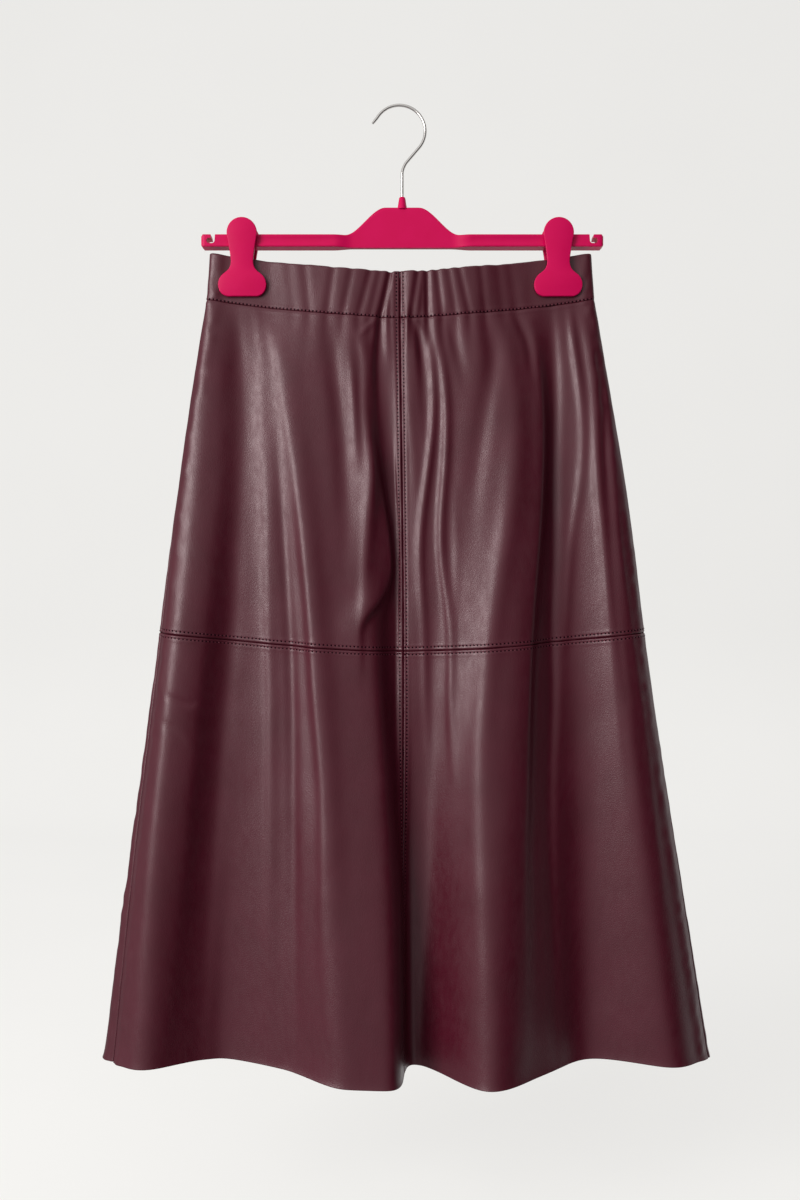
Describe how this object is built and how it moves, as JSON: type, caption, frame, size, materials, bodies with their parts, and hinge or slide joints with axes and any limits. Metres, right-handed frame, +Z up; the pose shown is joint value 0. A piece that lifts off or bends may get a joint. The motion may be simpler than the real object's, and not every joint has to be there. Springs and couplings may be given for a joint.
{
  "type": "leather skirt on a clip hanger",
  "caption": "A-line midi skirt of smooth burgundy faux leather with a gathered waistband, yoke seam and centre-front seam, clipped flat on a moulded hanger with a wire hook.",
  "frame": {"origin": "the point inside the crown of the wire hook that bears on the rail or nail it hangs from", "axes": "+Z up, +X to the right as the skirt's front is looked at, +Y from the skirt's front to its back"},
  "size_m": [0.5401, 0.0855, 0.8603],
  "materials": {
    "leather": "smooth coated faux leather, soft sheen, ox-blood burgundy",
    "plastic": "moulded, satin gloss, bright pink",
    "steel": "polished plated wire and spring strip"
  },
  "bodies": {
    "root": {"waistband_front_left": "leather", "waistband_front_right": "leather", "waistband_back": "leather", "front_upper_left": "leather", "front_upper_right": "leather", "back_upper": "leather", "front_lower_left": "leather", "front_lower_right": "leather", "back_lower": "leather", "hanger_bar": "plastic", "clip_left_front": "plastic", "clip_left_back": "plastic", "clip_right_front": "plastic", "clip_right_back": "plastic", "hanger_hook": "steel", "clip_left_spring": "steel", "clip_right_spring": "steel"}
  },
  "joints": []
}
